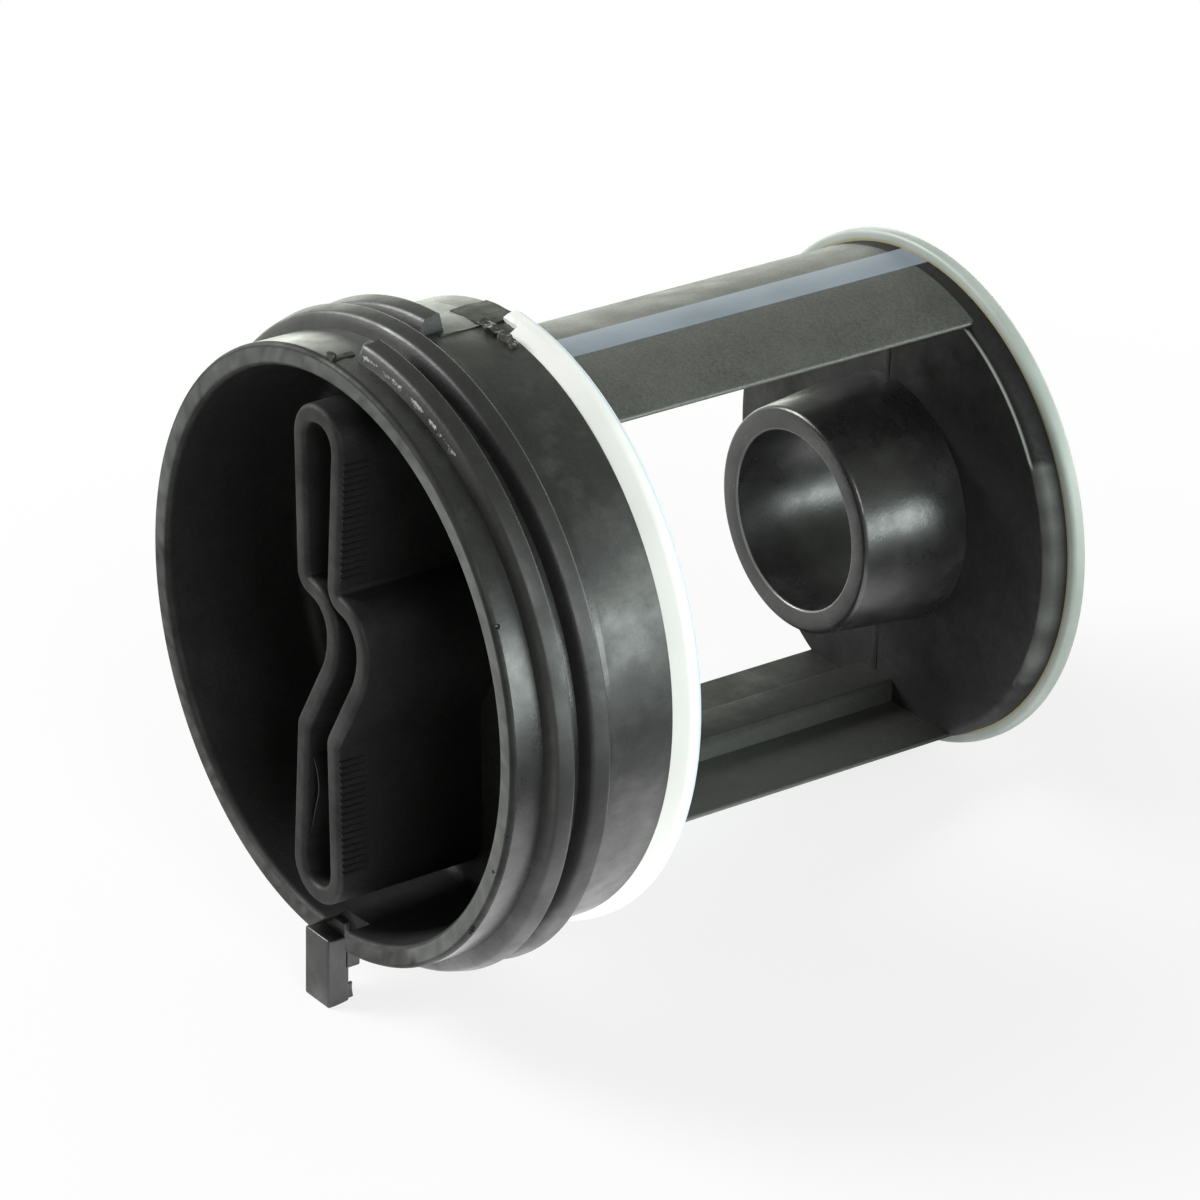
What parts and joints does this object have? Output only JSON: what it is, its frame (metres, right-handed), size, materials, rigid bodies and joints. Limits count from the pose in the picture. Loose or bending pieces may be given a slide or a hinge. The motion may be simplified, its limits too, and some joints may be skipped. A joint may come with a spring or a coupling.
{
  "type": "washer pump filter",
  "caption": "Screw-in drain pump filter: threaded cap with a serrated finger grip, open cage arms, rear disc with an outlet tube, and pale sealing rings joined by runners",
  "frame": {"origin": "On the filter's axis, at the middle of the front sealing ring's crown", "axes": "+Y along the filter's axis from the grip end to the pump end; +Z through the upper cage arm, away from the stop tab; +X to the right as seen from the grip end"},
  "size_m": [0.066, 0.0734, 0.0719],
  "materials": {
    "filter_body": "black polypropylene, moulded, satin with light scuffs",
    "seal": "milky white elastomer, moulded, soft sheen"
  },
  "bodies": {
    "root": {"filter_body": "filter_body", "seal": "seal"}
  },
  "joints": []
}
